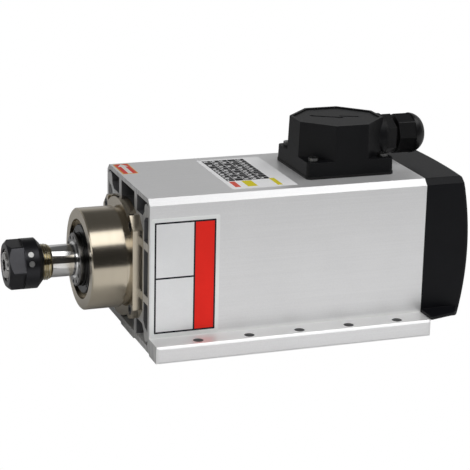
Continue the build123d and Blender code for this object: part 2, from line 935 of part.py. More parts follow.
with BuildPart() as collet:
    with BuildSketch(lengthwise):
        with BuildLine():
            Polyline(
                (collet_front, collet_bore / 2),
                (collet_front, collet_face / 2),
                (groove_start, collet_face / 2 + collet_head * tan(radians(30))),
                (groove_start, collet_groove / 2),
                (groove_end, collet_groove / 2),
                (taper_start, collet_r),
                (collet_front + collet_length, tail_r),
                (collet_front + collet_length, collet_bore / 2),
                close=True,
            )
        make_face()
    revolve(axis=spin_axis)
    # slots from the front and, between them, from the rear
    slit_length = collet_length - collet_slot_land
    for start, turn in (
        (collet_front, collet_slot_start),
        (collet_front + collet_slot_land, collet_slot_start + 180.0 / collet_slots),
    ):
        with BuildSketch(across(start)):
            with PolarLocations(collet_r / 2 + collet_bore / 4, collet_slots, turn):
                Rectangle(collet_r + collet_bore / 2, collet_slot_width)
        extrude(amount=slit_length, mode=Mode.SUBTRACT)
finish(collet, "collet")

# ================================================================ collet nut
nut_rear = nut_front + nut_length
nut_r = nut_diameter / 2
ring_front = nut_front + nut_lip
ring_rear = ring_front + ring_length
thread_r = thread_land / 2 + nut_thread_gap

with BuildPart() as collet_nut:
    with BuildSketch(lengthwise):
        with BuildLine():
            Polyline(
                (nut_front, nut_lip_bore / 2),
                (nut_front, nut_r - nut_front_chamfer),
                (nut_front + nut_front_chamfer, nut_r),
                (nut_rear - nut_rear_chamfer, nut_r),
                (nut_rear, nut_rear_diameter / 2),
                (nut_rear, thread_r),
                (ring_rear, thread_r),
                (ring_rear, ring_diameter / 2 + ring_gap),
                (ring_front, ring_diameter / 2 + ring_gap),
                (ring_front, nut_lip_bore / 2),
                close=True,
            )
        make_face()
    revolve(axis=spin_axis)
    # spanner flats on the front part
    with BuildSketch(across(nut_front)):
        Circle(nut_diameter)
        RegularPolygon(nut_hex / 2, 6, major_radius=False, rotation=nut_hex_turn, mode=Mode.SUBTRACT)
    extrude(amount=nut_hex_length, mode=Mode.SUBTRACT)
    # radial holes for the balance screws
    for angle in balance_angles:
        side = (0, cos(radians(angle)), sin(radians(angle)))
        seat = Plane(
            origin=(
                nut_rear - balance_from_rear,
                side[1] * (nut_r - balance_depth),
                axis_height + side[2] * (nut_r - balance_depth),
            ),
            z_dir=side,
        )
        with BuildSketch(seat):
            Circle(balance_hole / 2)
        extrude(amount=balance_depth + 1, mode=Mode.SUBTRACT)
finish(collet_nut, "collet_nut")

with BuildPart() as balance_screws:
    for angle in balance_angles:
        side = (0, cos(radians(angle)), sin(radians(angle)))
        seat = Plane(
            origin=(
                nut_rear - balance_from_rear,
                side[1] * (nut_r - balance_depth),
                axis_height + side[2] * (nut_r - balance_depth),
            ),
            z_dir=side,
        )
        with BuildSketch(seat):
            Circle(balance_hole / 2 - thread_gap)
        extrude(amount=balance_depth - 0.3)
finish(balance_screws, "balance_screws")

# the ring whose offset rear lip sits in the collet's groove and draws it out
with BuildPart() as ejector_ring:
    with BuildSketch(across(ring_front)):
        Circle(ring_diameter / 2)
    extrude(amount=ring_length)
    head_grow = tan(radians(30))
    cone_start = collet_face / 2 + (ring_front - collet_front) * head_grow + ring_gap
    cone_end = collet_face / 2 + collet_head * head_grow + ring_gap
    with BuildSketch(lengthwise):
        with BuildLine():
            Polyline(
                (ring_front, 0),
                (ring_front, cone_start),
                (groove_start + ring_gap, cone_end),
                (groove_start + ring_gap, 0),
                close=True,
            )
        make_face()
    revolve(axis=spin_axis, mode=Mode.SUBTRACT)
    with BuildSketch(across(groove_start + ring_gap)):
        with Locations((0, ring_offset)):
            Circle(ring_bore / 2)
    extrude(amount=ring_length, mode=Mode.SUBTRACT)
finish(ejector_ring, "ejector_ring")

# ================================================================ terminal box
gland_height = body_top + gland_rise
box_bottom = body_top + gasket_thick
box_top = body_top + box_height
ledge_z = body_top + box_ledge
box_shrink = tan(radians(box_draft))
lid_seat = box_top - box_rim_depth - lid_thick
top_trim = 2 * (box_top - box_bottom) * box_shrink
lid_length = box_length - top_trim - 2 * box_rim
lid_width = box_width - top_trim - 2 * box_rim
lid_corner = box_corner_cut - box_rim
tower_inside = box_centre + box_length / 2 - box_wall - (gland_height - box_bottom) * box_shrink

with BuildPart() as terminal_box_cover:
    with BuildSketch(Plane.XY.offset(box_bottom)) as box_base:
        with Locations((box_centre, 0)):
            RectangleRounded(box_length, box_width, box_corner)
    extrude(amount=ledge_z - box_bottom, taper=box_draft)
    # eight-sided tower: the corners above the ledges are cut back
    with BuildSketch(Plane.XY.offset(box_bottom)) as tower:
        with Locations((box_centre, 0)):
            Rectangle(box_length, box_width)
        chamfer(tower.vertices(), box_corner_cut)
    extrude(amount=box_top - box_bottom, taper=box_draft)
    # flat pad for the gland
    with BuildSketch(Plane.YZ.offset(box_centre)):
        with Locations((0, gland_height)):
            Circle(gland_pad / 2)
    extrude(amount=box_length / 2 + gland_pad_out)
    # hollow
    with BuildSketch(Plane.XY.offset(box_bottom)) as hollow_base:
        with Locations((box_centre, 0)):
            RectangleRounded(box_length - 2 * box_wall, box_width - 2 * box_wall, box_corner - 1)
    extrude(amount=ledge_z - box_wall - box_bottom, taper=box_draft, mode=Mode.SUBTRACT)
    with BuildSketch(Plane.XY.offset(box_bottom)) as hollow_tower:
        with Locations((box_centre, 0)):
            Rectangle(box_length - 2 * box_wall, box_width - 2 * box_wall)
        chamfer(hollow_tower.vertices(), box_corner_cut - 0.6 * box_wall)
    extrude(amount=lid_seat - lid_lip_thick - box_bottom, taper=box_draft, mode=Mode.SUBTRACT)
    # screw posts under the ledges, then the screw holes
    with BuildSketch(Plane.XY.offset(box_bottom)):
        with Locations((box_centre, 0)):
            with GridLocations(2 * screw_dx, 2 * screw_dy, 2, 2):
                Circle(box_post / 2)
    extrude(amount=ledge_z - box_bottom - 0.5)
    with BuildSketch(Plane.XY.offset(box_bottom)):
        with Locations((box_centre, 0)):
            with GridLocations(2 * screw_dx, 2 * screw_dy, 2, 2):
                Circle(box_screw / 2 + head_gap)
    extrude(amount=ledge_z - box_bottom, mode=Mode.SUBTRACT)
    # threaded boss for the gland, inside the rear wall
    with BuildSketch(Plane.YZ.offset(tower_inside - gland_boss_length)):
        with Locations((0, gland_height)):
            Circle(gland_boss / 2)
    extrude(amount=gland_boss_length + box_wall)
    # rebate for the lid, with a lip under it, inside the raised rim of the top
    for narrower, bottom in ((0, lid_seat), (lid_lip, lid_seat - lid_lip_thick)):
        with BuildSketch(Plane.XY.offset(box_top)) as rebate:
            with Locations((box_centre, 0)):
                Rectangle(lid_length - 2 * narrower, lid_width - 2 * narrower)
            chamfer(rebate.vertices(), lid_corner - 0.6 * narrower)
        extrude(amount=bottom - box_top, mode=Mode.SUBTRACT)
    # gland hole
    with BuildSketch(Plane.YZ.offset(box_centre)):
        with Locations((0, gland_height)):
            Circle(gland_thread / 2 + thread_gap)
    extrude(amount=box_length / 2 + gland_pad_out, mode=Mode.SUBTRACT)
finish(terminal_box_cover, "terminal_box_cover")

with BuildPart() as box_lid:
    with BuildSketch(Plane.XY.offset(lid_seat)) as plate:
        with Locations((box_centre, 0)):
            Rectangle(lid_length - 2 * lid_gap, lid_width - 2 * lid_gap)
        chamfer(plate.vertices(), lid_corner - 0.6 * lid_gap)
    extrude(amount=lid_thick)
    # stepped groove moulded in the lid
    with BuildSketch(Plane.XY.offset(lid_seat + lid_thick)):
        with BuildLine():
            Polyline(
                (box_centre - lid_groove_reach, 2 * lid_groove_step),
                (box_centre + 0.2 * lid_groove_reach, -lid_groove_step / 2),
                (box_centre + 0.2 * lid_groove_reach, lid_groove_step / 2),
                (box_centre + lid_groove_reach, -lid_groove_step / 2),
            )
        trace(line_width=lid_groove_width)
    extrude(amount=-lid_groove_depth, mode=Mode.SUBTRACT)
finish(box_lid, "terminal_box_lid")

with BuildPart() as box_gasket:
    with BuildSketch(Plane.XY.offset(body_top)):
        with Locations((box_centre, 0)):
            RectangleRounded(box_length + 0.6, box_width + 0.6, box_corner)
            RectangleRounded(
                box_length - 4 * box_wall, box_width - 4 * box_wall, box_corner, mode=Mode.SUBTRACT
            )
            with GridLocations(2 * screw_dx, 2 * screw_dy, 2, 2):
                Circle(box_post / 2)
                Circle(box_screw / 2 + head_gap, mode=Mode.SUBTRACT)
    extrude(amount=gasket_thick)
finish(box_gasket, "terminal_box_gasket")

with BuildPart() as box_screws:
    with BuildSketch(Plane.XY.offset(ledge_z)):
        with Locations((box_centre, 0)):
            with GridLocations(2 * screw_dx, 2 * screw_dy, 2, 2):
                Circle(box_screw / 2)
    extrude(amount=-(box_ledge + box_screw_bite))
    with BuildSketch(Plane.XY.offset(ledge_z)):
        with Locations((box_centre, 0)):
            with GridLocations(2 * screw_dx, 2 * screw_dy, 2, 2):
                Circle(box_screw_head / 2)
    extrude(amount=box_screw_head_height)
    with BuildSketch(Plane.XY.offset(ledge_z + box_screw_head_height)):
        with Locations((box_centre, 0)):
            with GridLocations(2 * screw_dx, 2 * screw_dy, 2, 2):
                Rectangle(box_screw_cross, box_screw_cross_width)
                Rectangle(box_screw_cross_width, box_screw_cross)
    extrude(amount=-box_screw_cross_depth, mode=Mode.SUBTRACT)
finish(box_screws, "terminal_box_screws")

# ================================================================ terminal board and leads
with BuildPart() as terminal_board:
    with BuildSketch(Plane.XY.offset(body_top)):
        with Locations((board_centre, 0)):
            Rectangle(board_width, board_length)
    extrude(amount=board_height)
    # barriers between the three terminals
    with BuildSketch(Plane.XY.offset(body_top + board_height)):
        with Locations((board_centre, 0)):
            with GridLocations(1, stud_spacing_x, 1, 4):
                Rectangle(board_width, barrier_thick)
    extrude(amount=stud_nut_height)
finish(terminal_board, "terminal_board")

with BuildPart() as terminal_studs:
    with BuildSketch(Plane.XY.offset(body_top + board_height)):
        with Locations((board_centre, 0)):
            with GridLocations(stud_spacing_y, stud_spacing_x, 2, 3):
                Circle(stud_diameter / 2)
    extrude(amount=stud_height)
    with BuildSketch(Plane.XY.offset(body_top + board_height)):
        with Locations((board_centre, 0)):
            with GridLocations(stud_spacing_y, stud_spacing_x, 2, 3):
                RegularPolygon(stud_nut / 2, 6, major_radius=False)
    extrude(amount=stud_nut_height)
finish(terminal_studs, "terminal_studs")

with BuildPart() as earth_terminal:
    with BuildSketch(Plane.XY.offset(body_top)):
        with Locations((earth_centre, 0)):
            Circle(earth_washer / 2)
    extrude(amount=earth_washer_thick)
    with BuildSketch(Plane.XY.offset(body_top + earth_washer_thick)):
        with Locations((earth_centre, 0)):
            Circle(earth_screw_head / 2)
    extrude(amount=earth_screw_head_height)
    with BuildSketch(Plane.XY.offset(body_top)):
        with Locations((earth_centre, 0)):
            Circle(earth_screw / 2)
    extrude(amount=-(outer_wall - earth_tip_gap))
    with BuildSketch(Plane.XY.offset(body_top + earth_washer_thick + earth_screw_head_height)):
        with Locations((earth_centre, 0)):
            Rectangle(earth_slot_width, earth_screw_head)
    extrude(amount=-0.4 * earth_screw_head_height, mode=Mode.SUBTRACT)
finish(earth_terminal, "earth_screw")

with BuildPart() as motor_leads:
    with BuildSketch(Plane.XY.offset(axis_height + winding_outer / 2)):
        with Locations((lead_centre, 0)):
            with GridLocations(1, lead_spacing, 1, 3):
                Circle(lead_diameter / 2)
    extrude(amount=roof - winding_outer / 2 + board_height)
finish(motor_leads, "motor_leads")

# ================================================================ cable gland
pad_face = box_centre + box_length / 2 + gland_pad_out
hex_start = pad_face + gland_washer_thick
neck_start = hex_start + gland_hex_length
collar_start = neck_start + gland_neck_length
collar_end = collar_start + gland_collar
gland_axis = Axis((0, 0, gland_height), (1, 0, 0))
gland_plane = Plane(origin=(0, 0, gland_height), x_dir=(1, 0, 0), z_dir=(0, -1, 0))
seal_r = seal_diameter / 2


def gland_section(x):
    """Section plane at station x, with the gland's axis at its middle."""
    return Plane(origin=(x, 0, gland_height), x_dir=(0, 1, 0), z_dir=(1, 0, 0))


with BuildPart() as gland_body:
    with BuildSketch(gland_section(hex_start)):
        RegularPolygon(gland_hex / 2, 6, major_radius=False, rotation=30)
    extrude(amount=gland_hex_length)
    with BuildSketch(gland_section(neck_start)):
        Circle(gland_neck / 2)
    extrude(amount=gland_neck_length + gland_collar)
    with BuildSketch(gland_section(hex_start)):
        Circle(gland_thread / 2)
    extrude(amount=-gland_tail)
    with BuildSketch(gland_section(hex_start - gland_tail)):
        Circle(gland_bore / 2)
    extrude(amount=gland_tail + gland_hex_length, mode=Mode.SUBTRACT)
    with BuildSketch(gland_section(neck_start)):
        Circle(seal_r + seal_gap)
    extrude(amount=gland_neck_length + gland_collar, mode=Mode.SUBTRACT)
finish(gland_body, "gland_body")

with BuildPart() as gland_washer_ring:
    with BuildSketch(gland_section(pad_face)):
        Circle(gland_washer / 2)
        Circle(gland_thread / 2 + head_gap, mode=Mode.SUBTRACT)
    extrude(amount=gland_washer_thick)
finish(gland_washer_ring, "gland_washer")

with BuildPart() as gland_seal:
    with BuildSketch(gland_section(neck_start + 0.3)):
        Circle(seal_r)
        Circle(gland_cable / 2, mode=Mode.SUBTRACT)
    extrude(amount=gland_neck_length + seal_length)
finish(gland_seal, "gland_seal")

nut_end = collar_start + gland_nut_length
collar_r = gland_neck / 2 + gland_thread_gap
with BuildPart() as gland_dome_nut:
    with BuildSketch(gland_plane):
        with BuildLine():
            Polyline(
                (nut_end, gland_mouth / 2),
                (collar_end + 2.5, gland_mouth / 2),
                (collar_end + 1.0, collar_r),
                (collar_start + 0.3, collar_r),
                (collar_start + 0.3, gland_nut / 2),
                (collar_start + 0.55 * gland_nut_length, gland_nut / 2),
            )
            dome = ThreePointArc(
                (collar_start + 0.55 * gland_nut_length, gland_nut / 2),
                (collar_start + 0.86 * gland_nut_length, 0.43 * gland_nut),
                (nut_end, gland_nut_end / 2),
            )
            Line((nut_end, gland_nut_end / 2), (nut_end, gland_mouth / 2))
        make_face()
    revolve(axis=gland_axis)
    with BuildSketch(gland_section(collar_start + 0.3)):
        Circle(gland_nut)
        RegularPolygon(gland_nut_hex / 2, 8, major_radius=False, mode=Mode.SUBTRACT)
    extrude(amount=0.6 * gland_nut_length, mode=Mode.SUBTRACT)
finish(gland_dome_nut, "gland_dome_nut")
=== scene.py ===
import math

import bmesh
import bpy
import numpy as np
from mathutils import Matrix, Vector


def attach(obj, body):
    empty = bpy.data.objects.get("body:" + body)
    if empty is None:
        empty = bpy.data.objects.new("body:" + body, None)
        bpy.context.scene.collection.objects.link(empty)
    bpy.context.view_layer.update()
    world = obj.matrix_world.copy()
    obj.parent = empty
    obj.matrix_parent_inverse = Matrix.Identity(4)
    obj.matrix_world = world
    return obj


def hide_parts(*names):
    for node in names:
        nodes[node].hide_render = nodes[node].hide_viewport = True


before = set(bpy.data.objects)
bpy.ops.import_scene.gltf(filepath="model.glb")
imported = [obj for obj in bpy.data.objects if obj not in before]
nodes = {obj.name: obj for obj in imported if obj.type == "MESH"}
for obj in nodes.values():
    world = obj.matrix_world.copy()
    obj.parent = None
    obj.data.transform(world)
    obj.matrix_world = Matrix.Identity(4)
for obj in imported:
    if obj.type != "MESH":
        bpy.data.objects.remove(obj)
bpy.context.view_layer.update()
mm = 0.001
axisHeight = 55.0  # the spindle axis above the base, mm
print("frame loaded:", len(nodes), "nodes")


class Wire:  # one socket, so that shader maths reads as sums
    def __init__(self, tree, socket):
        self.tree, self.socket = tree, socket

    def sum(self, operation, other=0.0, flipped=False):
        pair = (other, self) if flipped else (self, other)
        return self.tree.add("ShaderNodeMath", {"operation": operation}, dict(enumerate(pair)))

    def __add__(self, other):
        return self.sum("ADD", other)

    def __radd__(self, other):
        return self.sum("ADD", other, True)

    def __sub__(self, other):
        return self.sum("SUBTRACT", other)

    def __rsub__(self, other):
        return self.sum("SUBTRACT", other, True)

    def __mul__(self, other):
        return self.sum("MULTIPLY", other)

    def __rmul__(self, other):
        return self.sum("MULTIPLY", other, True)

    def __truediv__(self, other):
        return self.sum("DIVIDE", other)

    def __pow__(self, other):
        return self.sum("POWER", other)

    def __gt__(self, other):
        return self.sum("GREATER_THAN", other)

    def __lt__(self, other):
        return self.sum("LESS_THAN", other)

    def __abs__(self):
        return self.sum("ABSOLUTE")

    def __mod__(self, other):
        return self.sum("FLOORED_MODULO", other)


class Tree:  # a node tree under construction
    def __init__(self, nodeTree):
        self.nodeTree = nodeTree

    def add(self, kind, settings=None, inputs=None, out=0):
        node = self.nodeTree.nodes.new(kind)
        for key, value in (settings or {}).items():
            if key == "stops":  # positions and colours of a ramp
                ramp = node.color_ramp
                while len(ramp.elements) < len(value):
                    ramp.elements.new(0.5)
                for stop, (position, colour) in zip(ramp.elements, value):
                    stop.position, stop.color = position, (*colour, 1.0)
            else:
                setattr(node, key, value)
        for key, value in (inputs or {}).items():
            self.plug(node.inputs[key], value)
        return Wire(self, node.outputs[out])

    def plug(self, socket, value):
        if isinstance(value, Wire):
            self.nodeTree.links.new(value.socket, socket)
        else:
            socket.default_value = value

    def split(self, vector):  # x, y, z
        first = self.add("ShaderNodeSeparateXYZ", {}, {0: vector})
        return [Wire(self, output) for output in first.socket.node.outputs]

    def between(self, value, low, high):  # 0 at low, 1 at high, soft in between
        return self.add(
            "ShaderNodeMapRange",
            {"interpolation_type": "SMOOTHSTEP"},
            {"Value": value, "From Min": low, "From Max": high, "To Min": 0.0, "To Max": 1.0},
        )

    def mix(self, amount, first, second):  # two colours
        first, second = (c if isinstance(c, Wire) else (*c, 1.0) for c in (first, second))
        return self.add("ShaderNodeMix", {"data_type": "RGBA"}, {0: amount, 6: first, 7: second}, out=2)


class Look(Tree):  # a material, its patterns in object coordinates
    def __init__(self, name, colour, metal, rough, **fixed):
        self.material = bpy.data.materials.new(name)
        self.material.use_nodes = True
        super().__init__(self.material.node_tree)
        self.shader = self.nodeTree.nodes["Principled BSDF"]
        self.set("Base Color", (*colour, 1.0))
        self.set("Metallic", metal)
        self.set("Roughness", rough)
        for socket, value in fixed.items():
            self.set(socket.replace("_", " "), value)
        self.place = self.add("ShaderNodeTexCoord", out="Object")

    def set(self, socket, value):
        self.plug(self.shader.inputs[socket], value)

    def spread(self, scale, centre=(0, 0, 0)):  # coordinates stretched about a centre in mm
        shift = [-c * mm * s for c, s in zip(centre, scale)]
        return self.add("ShaderNodeMapping", {}, {"Vector": self.place, "Location": shift, "Scale": scale})

    def noise(self, scale, detail, rough=0.55, stretch=(1, 1, 1)):  # scale in cells to the metre
        return self.add(
            "ShaderNodeTexNoise",
            {"normalize": True},
            {"Vector": self.spread(stretch), "Scale": scale, "Detail": detail, "Roughness": rough},
        )

    def axes(self, centre=(0, 0, 0)):  # x, y, z from a centre, in mm
        return self.split(self.spread((1 / mm, 1 / mm, 1 / mm), centre))

    def radius(self):  # distance from the spindle axis, mm
        x, y, z = self.axes((0, 0, axisHeight))
        return (y * y + z * z) ** 0.5

    def bump(self, height, distance, strength, edge=0.0):  # distance and the rounding of edges in mm
        inputs = {"Height": height, "Distance": distance * mm, "Strength": strength}
        if edge:
            inputs["Normal"] = self.add("ShaderNodeBevel", {"samples": 4}, {"Radius": edge * mm})
        self.set("Normal", self.add("ShaderNodeBump", {}, inputs))


def dress(look, *names):  # a CAD node takes its finish
    for name in names:
        mesh = nodes[name].data
        mesh.materials.clear()
        mesh.materials.append(look.material)


def tone(red, green, blue):  # a display colour, 0 to 255, as light
    shares = (red / 255, green / 255, blue / 255)
    return tuple(((c + 0.055) / 1.055) ** 2.4 if c > 0.04 else c / 12.92 for c in shares)


def scaled(colour, times, plus=0.0):  # a lighter or darker cousin of a colour
    return tuple(times * c + plus for c in colour)


# the housing: each finish, painted highlight and painted shade with where it lies, in mm; a pair is where its
# mask starts and where it is full
skin = {
    "plain": ((0.79, 0.79, 0.795), (0.87, 0.87, 0.875)),
    "feet": (1.0, 1.0, 0.995), "footTop": (14.7, 12.2), "footEdge": (67.7, 67.4),  # painted highlight: the feet lighter than the rest of the housing
    "sawn": ((0.5, 0.5, 0.5), (0.66, 0.66, 0.655)), "frontCut": -102.85, "rearCut": 94.85,
    # painted shade: the inside of the foot holes darker
    "holeShade": (0.34, 0.34, 0.345), "holePitch": 36.0, "holeRow": 61.0, "holeTop": (11.65, 11.5),
    "holeReach": (12.9, 12.4),  # squares of the foot holes' radius
    # painted shade: the inside of the channels darker
    "hollow": (0.16, 0.16, 0.165), "wallInside": 46.9, "roofInside": 103.7, "floorInside": 5.6,
}
halfway = (0.4, 0.6)  # makes one mask of a sum of masks


def extrusionSkin():
    s = skin
    look = Look("extrusionSkin", (0.8, 0.8, 0.8), 0.55, 0.34)
    x, y, z = look.axes()
    dieLines = look.noise(1.0, detail=5.0, rough=0.7, stretch=(9, 900, 900))  # long marks along the extrusion
    sawMarks = look.noise(1.0, detail=3.0, rough=0.6, stretch=(600, 500, 40))
    cloud = look.noise(16.0, 2.0)
    speckle = look.noise(900.0, 2.0)
    # painted highlight: the feet made lighter
    feet = look.between(z, *s["footTop"]) * look.between(abs(y), *s["footEdge"])
    cut = (x < s["frontCut"]) + (x > s["rearCut"])
    half = 0.5 * s["holePitch"]
    along = (x + half) % s["holePitch"] - half
    across = abs(y) - s["holeRow"]
    # painted shade inside the foot holes
    holeShade = look.between(along * along + across * across, *s["holeReach"]) * look.between(z, *s["holeTop"])
    # painted shade inside the channels, away from the cut ends
    inside = (abs(y) < s["wallInside"]) * (z < s["roofInside"]) * (z > s["floorInside"])
    hollow = look.between(inside - cut, *halfway)
    tint = look.mix(look.between(dieLines * 0.35 + cloud * 0.4 + speckle * 0.25, 0.3, 0.7), *s["plain"])
    tint = look.mix(feet, tint, s["feet"])
    sawn = look.mix(look.between(sawMarks, 0.35, 0.65), *s["sawn"])
    tint = look.mix(look.between(cut, *halfway), tint, sawn)
    tint = look.mix(holeShade, tint, s["holeShade"])
    look.set("Base Color", look.mix(hollow, tint, s["hollow"]))
    look.set("Roughness", 0.3 + dieLines * 0.08 + cloud * 0.1 + hollow * 0.2)
    look.bump(dieLines * 0.35 + speckle * 0.3, 0.02, 0.3, 0.35)
    return look


nickel = {"colour": (0.56, 0.5, 0.4), "rough": 0.17, "rings": 2.1, "ringDepth": 0.02}  # rings to the mm


def turnedNickel():  # the lathe's rings run round the axis
    s = nickel
    look = Look("noseNickel", s["colour"], 1.0, s["rough"])
    x = look.axes()[0]
    r = look.radius()
    station = look.add("ShaderNodeCombineXYZ", {}, {"X": x * s["rings"], "Y": r * s["rings"], "Z": 0.0})
    texture = {"Vector": station, "Scale": 1.6, "Detail": 4.0, "Roughness": 0.7}
    rings = look.add("ShaderNodeTexNoise", {}, texture)
    cloud = look.noise(28.0, 3.0)
    patch = look.between(rings * 0.6 + cloud * 0.4, 0.35, 0.65)
    look.set("Base Color", look.mix(patch, scaled(s["colour"], 0.86), s["colour"]))
    look.set("Roughness", s["rough"] - 0.05 + rings * 0.07 + cloud * 0.05)
    look.bump(rings, s["ringDepth"], 0.5, 0.3)
    return look


def blackened(name, colour, metal, rough, edge):  # oxide black steel, rubbed in places
    look = Look(name, colour, metal, rough)
    fine = look.noise(700.0, 3.0)
    cloud = look.noise(60.0, 3.0)
    look.set("Base Color", look.mix(look.between(cloud, 0.45, 0.75), colour, scaled(colour, 1.9, 0.004)))
    look.set("Roughness", rough + (cloud - 0.5) * 0.22)
    look.bump(fine, 0.03, 0.4, edge)
    return look


nut = {
    "black": (0.028, 0.028, 0.031), "metal": 0.85, "rough": 0.36, "edge": 0.3,
    # the wrench flat turned to the side is painted brighter, a painted highlight where the light falls on it:
    # its direction up from the near side in degrees, and where it starts from the axis and along it
    "paintedFlatHighlight": (0.2, 0.2, 0.215), "turn": 26, "flat": (14.6, 14.95), "front": (-176.8, -177.05),
}


def nutOxide():
    s = nut
    look = blackened("nutOxide", s["black"], s["metal"], s["rough"], s["edge"])
    x, y, z = look.axes()
    turn = math.radians(s["turn"])
    reach = (z - axisHeight) * math.sin(turn) - y * math.cos(turn)
    flat = look.between(reach, *s["flat"]) * look.between(x, *s["front"])
    # painted highlight on the side flat, a little uneven
    flatHighlight = flat * (0.45 + look.noise(60.0, 3.0) * 0.2)
    look.set("Base Color", look.mix(flatHighlight, s["black"], s["paintedFlatHighlight"]))
    return look


def moulded(name, colour, rough, grain, edge, shine):  # spark-eroded plastic, slightly dusty
    look = Look(name, colour, 0.0, rough, Specular_IOR_Level=shine)
    pebble = look.noise(grain, 3.0, 0.6)
    cloud = look.noise(22.0, 3.0)
    patch = look.between(cloud * 0.6 + pebble * 0.4, 0.38, 0.66)
    look.set("Base Color", look.mix(patch, colour, scaled(colour, 1.3, 0.0012)))
    look.set("Roughness", rough + (pebble - 0.5) * 0.16)
    look.bump(pebble, 0.06, 0.45, edge)
    return look


def brightMetal(name, colour, rough):
    look = Look(name, colour, 1.0, rough)
    fine = look.noise(500.0, 3.0)
    cloud = look.noise(70.0, 2.0)
    look.set("Base Color", look.mix(look.between(cloud, 0.3, 0.7), scaled(colour, 0.85), colour))
    look.set("Roughness", rough - 0.04 + cloud * 0.1)
    look.bump(fine, 0.012, 0.5, 0.2)
    return look


def castMetal():
    look = Look("castBell", (0.56, 0.56, 0.55), 1.0, 0.46)
    pebble = look.noise(420.0, 4.0, 0.65)
    cloud = look.noise(40.0, 3.0)
    look.set("Base Color", look.mix(look.between(cloud, 0.3, 0.7), (0.46, 0.46, 0.45), (0.6, 0.6, 0.59)))
    look.set("Roughness", 0.38 + pebble * 0.2)
    look.bump(pebble, 0.15, 0.6, 0.4)
    return look


def stackedSteel(sheet=0.5):  # thin laminations along the axis, each a sheet thick in mm
    look = Look("stackedSteel", (0.34, 0.34, 0.36), 1.0, 0.42)
    x = look.axes()[0]
    leaf = look.between(abs((x / sheet) % 1.0 - 0.5), 0.36, 0.5)
    cloud = look.noise(60.0, 3.0)
    look.set("Base Color", look.mix(leaf * 0.7 + cloud * 0.2, (0.4, 0.4, 0.42), (0.12, 0.12, 0.13)))
    look.set("Roughness", 0.34 + leaf * 0.2 + cloud * 0.08)
    look.bump(1.0 - leaf, 0.04, 0.6)
    return look


def woundCopper(wire=0.9, slant=0.55, wobble=3.0):  # varnished wire laid round the axis, its thickness in mm
    look = Look("woundCopper", (0.5, 0.2, 0.07), 0.85, 0.35)
    x = look.axes()[0]
    lay = look.radius() / wire + x * slant + look.noise(90.0, 2.0) * wobble
    strand = abs(lay % 1.0 - 0.5) * 2.0
    look.set("Base Color", look.mix(strand, (0.55, 0.24, 0.09), (0.22, 0.07, 0.03)))
    look.set("Roughness", 0.28 + strand * 0.2)
    look.bump(1.0 - strand, 0.25, 0.8)
    return look


def flowCoat(name, colour, rough):  # phenolic board and silicone sleeve
    look = Look(name, colour, 0.0, rough)
    swirl = look.noise(150.0, 4.0, 0.6)
    look.set("Base Color", look.mix(look.between(swirl, 0.3, 0.7), scaled(colour, 0.7), colour))
    look.set("Roughness", rough + (swirl - 0.5) * 0.15)
    look.bump(swirl, 0.04, 0.4, 0.2)
    return look


def printed(name, shade, rough, foil=0.0):  # ink or vinyl on a sign, with some shine of the foil under it
    colour = tone(*shade)
    look = Look(name, colour, foil, rough, Specular_IOR_Level=0.2)
    fibre = look.noise(1300.0, 3.0)
    cloud = look.noise(35.0, 3.0)
    patch = look.between(cloud * 0.7 + fibre * 0.3, 0.3, 0.7)
    look.set("Base Color", look.mix(patch, scaled(colour, 0.93), colour))
    look.set("Roughness", rough + (fibre - 0.5) * 0.1)
    look.bump(fibre * 0.4 + cloud * 0.6, 0.03, 0.3)
    return look


blackSteels = {
    # name: (colour, metallic, roughness, rounding of edges in mm, nodes that wear it)
    "coverBlack": ((0.004, 0.004, 0.005), 0.8, 0.3, 0.3, ["front_cover"]),
    "screwBlack": ((0.03, 0.03, 0.032), 0.8, 0.3, 0.15, ["front_housing_screws", "end_bell_screws"]),
    "boxScrew": ((0.09, 0.09, 0.09), 0.9, 0.26, 0.15, ["terminal_box_screws"]),
}
brightMetals = {
    # name: (colour, roughness, nodes)
    "colletSteel": ((0.5, 0.49, 0.47), 0.26, ["collet"]),
    "ringSteel": ((0.42, 0.41, 0.4), 0.24, ["ejector_ring"]),
    "labyrinthSteel": ((0.17, 0.165, 0.16), 0.22, ["labyrinth_nut"]),
    "setScrewSteel": ((0.5, 0.5, 0.49), 0.4, ["balance_screws"]),
    "groundSteel": ((0.6, 0.61, 0.63), 0.24, [
        "front_bearing_outer", "front_bearing_inner", "second_bearing_outer", "second_bearing_inner",
        "rear_bearing_outer", "rear_bearing_inner", "outer_spacer", "inner_spacer", "preload_spring",
        "fan_clip"]),
    "zincScrew": ((0.68, 0.68, 0.66), 0.3, ["hood_screws", "earth_screw"]),
    "brassStud": ((0.75, 0.52, 0.22), 0.25, ["terminal_studs"]),
}
plastics = {
    # name: (colour, roughness, grains to the metre, rounding of edges in mm, shine, nodes)
    "hoodPlastic": ((0.0042, 0.0045, 0.0058), 0.42, 1500.0, 0.9, 0.14, ["rear_hood"]),
    "boxPlastic": ((0.0048, 0.005, 0.0058), 0.45, 1300.0, 0.5, 0.2, ["terminal_box_cover"]),
    "fanNylon": ((0.012, 0.012, 0.013), 0.4, 1200.0, 0.2, 0.2, ["cooling_fan"]),
    "glandNylon": ((0.006, 0.006, 0.0065), 0.34, 1600.0, 0.4, 0.3, ["gland_body", "gland_dome_nut"]),
    "softRubber": ((0.01, 0.01, 0.0105), 0.5, 900.0, 0.4, 0.2, [
        "terminal_box_gasket", "gland_washer", "gland_seal"]),
}
coats = {
    # name: (colour, roughness, nodes)
    "phenolicBoard": ((0.22, 0.09, 0.04), 0.4, ["terminal_board"]),
    "leadSleeve": ((0.5, 0.03, 0.02), 0.45, ["motor_leads"]),
}

